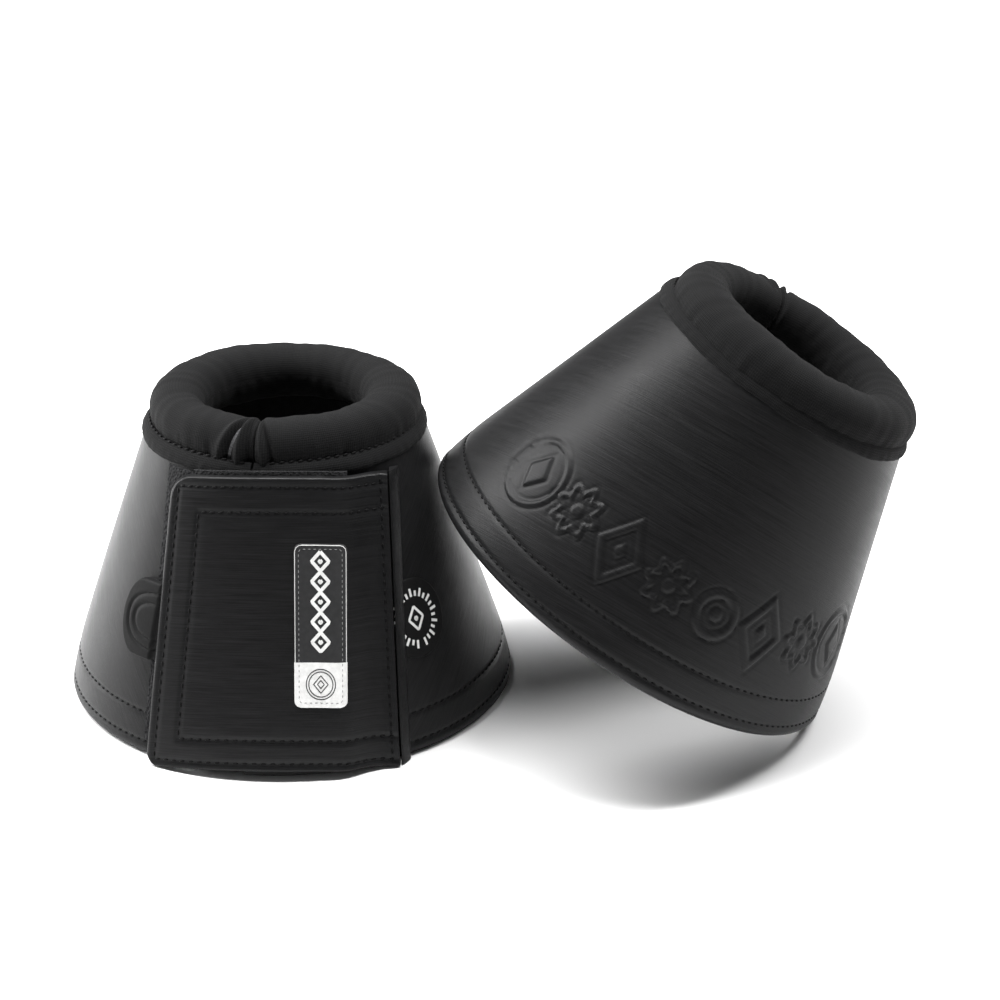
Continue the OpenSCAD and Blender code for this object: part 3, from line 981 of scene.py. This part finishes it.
def makeTab(boot):
    half = (tab["high"] - tab["low"]) / 2
    turn = np.radians(np.linspace(-90, 90, 61))[None, :]
    z = tabMiddle + half * np.sin(turn)
    tip = tab["reach"] - half * 0.82 + half * 0.82 * np.cos(turn) ** 0.8
    share = spread(0, 0.006, 0.06, 0.02, 1.0)[:, None]
    along = tip + (-tab["root"] - tip) * share
    z = np.broadcast_to(z, along.shape)
    fromEdge = np.minimum(tip - along, half - np.abs(z - tabMiddle))
    rounding = 0.7 * (1 - np.sqrt(1 - (1 - np.clip(fromEdge / 1.1, 0, 1)) ** 2))
    crown = 0.35 * np.sin(np.pi * np.clip((z - tab["low"]) / (2 * half), 0, 1))
    grooves = 0
    for inset in (3.6, 7.0):
        # a smaller outline of the same shape, and its distance from each point
        across = (along + 1) / (tab["reach"] + 1 - inset)
        upright = (z - tabMiddle) / (half - inset)
        outline = np.abs(across) ** 2.3 + np.abs(upright) ** 2.3
        grooves = grooves - 0.6 * np.exp(-((outline - 1) * (half - inset) / 2.3 / 0.45) ** 2)
    underFlap = smooth01((-along + 1.2) / 1.5) * 1.25
    front = tabPlace(along, z, tab["under"] + tab["thick"] - rounding + crown + grooves - underFlap)
    back = tabPlace(along, z, tab["under"] + 0 * z)
    flat = np.stack([along, z], -1) * mm
    piece = slab(f"{boot}_tab", boot, front, back, flat, rubberFinish)
    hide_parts(f"{boot}_pull_tab")
    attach(piece, f"{boot}_flap")


# ---- round badge on the wall beside the seam
badge = {"azimuth": 44.0, "middle": 47.5, "radius": 14.0, "thick": 0.55}


def badgePlace(points, lift):
    z = badge["middle"] + points[:, 1]
    radius = wallRadius(z)
    azimuth = badge["azimuth"] + np.degrees(points[:, 0] / radius)
    return around(azimuth, radius + wallRelief(azimuth, z) + lift, z)


def makeBadge(boot):
    radii = spread(0.4, 1.2, badge["radius"] - 1.2, 0.25, badge["radius"])
    turns = np.radians(np.arange(0, 360, 5))
    grid = np.stack([np.outer(radii, np.sin(turns)), np.outer(radii, np.cos(turns))], -1)
    edge = np.clip((badge["radius"] - radii) / 0.6, 0, 1)
    step = 0.16 * np.exp(-((radii - 11.9) / 0.3) ** 2) + 0.16 * np.exp(-((radii - 6.4) / 0.3) ** 2)
    height = badge["thick"] - 0.35 * (1 - np.sqrt(1 - (1 - edge) ** 2)) - step
    rings = [badgePlace(row, h) for row, h in zip(grid, height)]
    rings.append(badgePlace(grid[-1], -0.1))
    rings.append(badgePlace(grid[0], -0.1))
    sections = np.stack(rings)
    flat = np.concatenate([grid, grid[-1:], grid[:1]]) * mm
    disc = tube(f"{boot}_badge", boot, sections, flat, rubberFinish)
    marks = []
    for a in range(-168, 169, 14):
        heading = math.radians(a)
        inner, outer = 7.7, 10.6 if a % 28 == 0 else 9.6
        marks.append(linePath((inner * math.sin(heading), inner * math.cos(heading)),
                              (outer * math.sin(heading), outer * math.cos(heading)), 4))
    marks += [denser(diamondPath((0, 0), 3.4, 4.2), 0.6), diamondPath((0, 0), 0.5, 0.6)]
    bars = [ribbon(path, badgePlace, 0.95, badge["thick"] - 0.15, badge["thick"] + 0.08) for path in marks]
    pale = joined(f"{boot}_badge_marks", boot, bars, labelWhite)
    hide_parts(f"{boot}_side_badge")
    for piece in (disc, pale):
        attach(piece, f"{boot}_flap_wing")


for boot in boots:
    makeTab(boot)
    makeBadge(boot)
print("tabs and badges made")


# ---- stitches and fibres, laid by one node tree
def makeStitchTree():
    tree = bpy.data.node_groups.new("layStitches", "GeometryNodeTree")
    sockets = tree.interface
    sockets.new_socket("Geometry", in_out="INPUT", socket_type="NodeSocketGeometry")
    sockets.new_socket("Length", in_out="INPUT", socket_type="NodeSocketFloat")
    sockets.new_socket("Thickness", in_out="INPUT", socket_type="NodeSocketFloat")
    sockets.new_socket("Thread", in_out="INPUT", socket_type="NodeSocketMaterial")
    sockets.new_socket("Geometry", in_out="OUTPUT", socket_type="NodeSocketGeometry")
    nodes, links = tree.nodes, tree.links
    given = nodes.new("NodeGroupInput")
    made = nodes.new("NodeGroupOutput")
    bead = nodes.new("GeometryNodeMeshUVSphere")
    bead.inputs["Segments"].default_value = 6
    bead.inputs["Rings"].default_value = 4
    bead.inputs["Radius"].default_value = 0.5
    size = nodes.new("ShaderNodeCombineXYZ")
    links.new(given.outputs["Length"], size.inputs["X"])
    links.new(given.outputs["Thickness"], size.inputs["Y"])
    links.new(given.outputs["Thickness"], size.inputs["Z"])
    shape = nodes.new("GeometryNodeTransform")
    links.new(bead.outputs["Mesh"], shape.inputs["Geometry"])
    links.new(size.outputs["Vector"], shape.inputs["Scale"])
    turn = None
    for attribute, axis in (("along", "X"), ("facing", "Z")):
        heading = nodes.new("GeometryNodeInputNamedAttribute")
        heading.data_type = "FLOAT_VECTOR"
        heading.inputs["Name"].default_value = attribute
        align = nodes.new("FunctionNodeAlignRotationToVector")
        align.axis = axis
        align.pivot_axis = "AUTO" if turn is None else "X"
        links.new(heading.outputs["Attribute"], align.inputs["Vector"])
        if turn is not None:
            links.new(turn, align.inputs["Rotation"])
        turn = align.outputs["Rotation"]
    lay = nodes.new("GeometryNodeInstanceOnPoints")
    links.new(given.outputs["Geometry"], lay.inputs["Points"])
    links.new(shape.outputs["Geometry"], lay.inputs["Instance"])
    links.new(turn, lay.inputs["Rotation"])
    real = nodes.new("GeometryNodeRealizeInstances")
    links.new(lay.outputs["Instances"], real.inputs["Geometry"])
    smooth = nodes.new("GeometryNodeSetShadeSmooth")
    links.new(real.outputs["Geometry"], smooth.inputs["Geometry"])
    finish = nodes.new("GeometryNodeSetMaterial")
    links.new(smooth.outputs["Geometry"], finish.inputs["Geometry"])
    links.new(given.outputs["Thread"], finish.inputs["Material"])
    links.new(finish.outputs["Geometry"], made.inputs["Geometry"])
    return tree


stitchTree = makeStitchTree()


def layStitches(name, places, along, facing, length, thickness, material):
    # places, along and facing are in the shared frame, in metres
    mesh = bpy.data.meshes.new(name)
    mesh.from_pydata(np.asarray(places).tolist(), [], [])
    for attribute, values in (("along", along), ("facing", facing)):
        layer = mesh.attributes.new(attribute, "FLOAT_VECTOR", "POINT")
        layer.data.foreach_set("vector", np.asarray(values, np.float32).ravel())
    carrier = bpy.data.objects.new(name, mesh)
    bpy.context.scene.collection.objects.link(carrier)
    modifier = carrier.modifiers.new("stitches", "NODES")
    modifier.node_group = stitchTree
    sockets = stitchTree.interface.items_tree
    inputs = {item.name: item.identifier for item in sockets if item.in_out == "INPUT"}
    modifier[inputs["Length"]] = length * mm
    modifier[inputs["Thickness"]] = thickness * mm
    modifier[inputs["Thread"]] = material
    graph = bpy.context.evaluated_depsgraph_get()
    result = bpy.data.meshes.new_from_object(carrier.evaluated_get(graph))
    carrier.modifiers.clear()
    carrier.data = result
    result.name = name
    return carrier


def stitchRow(boot, paths, pitch, sink=0.0, slant=0.0):
    # places stitches at even steps along each path of millimetre points, turned a little to one side
    places, along, facing = [], [], []
    for path in paths:
        path = np.asarray(path, float)
        distance = np.r_[0, np.cumsum(np.linalg.norm(np.diff(path, axis=0), axis=1))]
        n = max(2, int(round(distance[-1] / pitch)))
        at = (np.arange(n) + 0.5) * distance[-1] / n
        spot = np.stack([np.interp(at, distance, path[:, k]) for k in range(3)], 1)
        step = 0.2 * pitch
        after = np.stack([np.interp(at + step, distance, path[:, k]) for k in range(3)], 1)
        before = np.stack([np.interp(at - step, distance, path[:, k]) for k in range(3)], 1)
        ahead = after - before
        ahead /= np.linalg.norm(ahead, axis=1)[:, None]
        out = np.stack([spot[:, 0], spot[:, 1], 0 * at], 1)
        out /= np.linalg.norm(out, axis=1)[:, None]
        out = out * math.cos(coneAngle) + np.array([0, 0, math.sin(coneAngle)])
        aside = np.cross(out, ahead)
        ahead = ahead * math.cos(slant) + aside * math.sin(slant)
        places.append(spot - out * sink)
        along.append(ahead)
        facing.append(out)
    turn = np.array(boots[boot])[:3, :3]
    along = np.concatenate(along) @ turn.T
    facing = np.concatenate(facing) @ turn.T
    return toWorld(boot, np.concatenate(places)), along, facing


def hemPaths(azimuths):
    paths = []
    for row in sewing["hemRows"]:
        az = np.arange(azimuths[0] + 1, azimuths[-1] - 1, 0.5)
        paths.append(around(az, wallRadius(row) + wallRelief(az, row + 0 * az), row + 0 * az))
    return paths


def collarPath(azimuths):
    az = np.arange(azimuths[0] + 2, azimuths[-1] - 2, 0.5)
    # the row dips with the welt at the collar's ends
    dip = 1.1 * np.exp(-((az + 9) / 11) ** 2)
    return [around(az, wall["neckRadius"] - 1.75 + 0 * az, wall["height"] + 3.95 - dip)]


def flapPaths():
    paths = []
    for left, top, low in zip(flap["rowsLeft"], flap["rowsTop"], flap["rowsLow"]):
        highRow, lowRow = flap["high"] - top, flap["low"] + low
        xs = np.arange(flapRight(highRow) - 1.0, flap["edgeX"] + highRow * flap["edgeLean"] + left, -0.5)
        hs = np.arange(highRow, lowRow, -0.5)
        across = [(x, highRow) for x in xs]
        down = [(flap["edgeX"] + h * flap["edgeLean"] + left, h) for h in hs]
        back = [(x, lowRow) for x in np.arange(flap["edgeX"] + lowRow * flap["edgeLean"] + left,
                                               flapRight(lowRow) - 1.0, 0.5)]
        for run in (across, down, back):
            run = np.array(run)
            paths.append(flapPoint(run[:, 0], run[:, 1], flapRelief(run[:, 0], run[:, 1])))
    hs = np.arange(flap["low"] + 0.8, flap["high"] - 0.6, 0.5)
    xs = flapRight(hs) - flap["seamRow"]
    paths.append(flapPoint(xs, hs, flapRelief(xs, hs)))
    return paths


def labelPaths():
    outline = denser(labelFrame(1.7), 0.5)
    return [labelPlace(outline, label["thick"])]


def fibres(boot):
    # loose pile that shows past the top edge of the flap
    rng = np.random.default_rng(7)
    n = 620
    x = rng.uniform(flap["edgeX"] + 22, 24, n)
    height = flap["high"] + rng.uniform(-0.2, 1.5, n)
    depth = -flap["thick"] - rng.uniform(-0.4, 1.1, n)
    spots = flapPoint(x, height, depth)
    heading = rng.normal(0, 1, (n, 3)) + np.array([0, -0.4, 1.1])
    heading /= np.linalg.norm(heading, axis=1)[:, None]
    turn = np.array(boots[boot])[:3, :3]
    return toWorld(boot, spots), heading @ turn.T, rng.normal(0, 1, (n, 3)) @ turn.T


for boot in boots:
    run = (sewing["length"], sewing["thick"])
    row = stitchRow(boot, hemPaths(backTabArc), sewing["pitch"], 0.0, sewing["slant"])
    piece = layStitches(f"{boot}_wrap_hem_stitches", *row, *run, threadFinish)
    bendAcross(piece)
    row = stitchRow(boot, hemPaths(flapWingArc), sewing["pitch"], 0.0, sewing["slant"])
    piece = layStitches(f"{boot}_flap_side_hem_stitches", *row, *run, threadFinish)
    bendAcross(piece)
    for half, azimuths in collarHalves.items():
        row = stitchRow(boot, collarPath(azimuths), sewing["pitch"], 0.0, sewing["slant"])
        piece = layStitches(f"{boot}_{half}_collar_stitches", *row, *run, threadFinish)
        bendAcross(piece)
    row = stitchRow(boot, flapPaths(), sewing["pitch"], 0.0, sewing["slant"])
    piece = layStitches(f"{boot}_flap_stitches", *row, *run, threadFinish)
    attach(piece, f"{boot}_flap")
    row = stitchRow(boot, labelPaths(), 1.9, 0.0)
    piece = layStitches(f"{boot}_label_stitches", *row, 1.1, 0.28, paleThread)
    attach(piece, f"{boot}_flap")
    piece = layStitches(f"{boot}_flap_fibres", *fibres(boot), 1.2, 0.09, fibreFinish)
    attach(piece, f"{boot}_flap")
print("stitches made")


# ---- CAD nodes that stay, with their own finishes
for node, piece in frame["nodes"].items():
    finish = pileFinish if "patch" in node else knitCad if "panel" in node else None
    if finish and not node.endswith(("flap_panel", "hook_panel")):
        for slot in piece.material_slots:
            slot.material = finish

# ---- camera, floor and light
shot = {"ahead": (81.0, 0, 72.3), "elevation": 23.3, "distance": 981.0, "lens": 92.448}
rise = math.radians(shot["elevation"])
aim = boots["standing"].translation + Vector(shot["ahead"]) * mm
eye = aim + Vector((0, -math.cos(rise), math.sin(rise))) * shot["distance"] * mm
cameraData = bpy.data.cameras.new("camera")
cameraData.sensor_width = 36
cameraData.lens = shot["lens"]
cameraData.clip_start = 0.01
camera = bpy.data.objects.new("camera", cameraData)
camera.location = eye
camera.rotation_euler = (aim - eye).to_track_quat("-Z", "Y").to_euler()
bpy.context.scene.collection.objects.link(camera)
bpy.context.scene.camera = camera


def makeFloor():
    material, nodes, links, shader = newMaterial("paleFloor", (0.9, 0.9, 0.9), 0.7, Specular_IOR_Level=0.1)
    where = nodes.new("ShaderNodeTexCoord").outputs["Object"]
    tint(nodes, links, noiseAt(nodes, links, where, 3, 2), (0.88, 0.88, 0.88), (0.92, 0.92, 0.92),
         shader.inputs["Base Color"])
    work = bmesh.new()
    bmesh.ops.create_grid(work, x_segments=8, y_segments=8, size=3)
    mesh = bpy.data.meshes.new("floor")
    work.to_mesh(mesh)
    work.free()
    mesh.materials.append(material)
    floor = bpy.data.objects.new("floor", mesh)
    bpy.context.scene.collection.objects.link(floor)


makeFloor()


def areaLight(name, place, target, wide, high, power):
    data = bpy.data.lights.new(name, "AREA")
    data.shape = "RECTANGLE"
    data.size = wide
    data.size_y = high
    data.energy = power
    light = bpy.data.objects.new(name, data)
    light.location = place
    light.rotation_euler = (Vector(target) - Vector(place)).to_track_quat("-Z", "Y").to_euler()
    bpy.context.scene.collection.objects.link(light)


areaLight("leftFlank", (-1.0, 0.35, 0.4), (-0.07, 0, 0.06), 0.3, 0.7, 12)
areaLight("leftBand", (-0.6, 0.15, 1.25), (-0.05, 0, 0.05), 0.34, 1.5, 36)
areaLight("rightBand", (0.5, 0.2, 1.3), (0.05, 0, 0.05), 0.3, 1.5, 34)
world = bpy.data.worlds.new("paleRoom")
world.use_nodes = True
world.node_tree.nodes["Background"].inputs["Color"].default_value = (1, 1, 1, 1)
world.node_tree.nodes["Background"].inputs["Strength"].default_value = 0.16
bpy.context.scene.world = world
bpy.context.scene.view_settings.view_transform = "Standard"
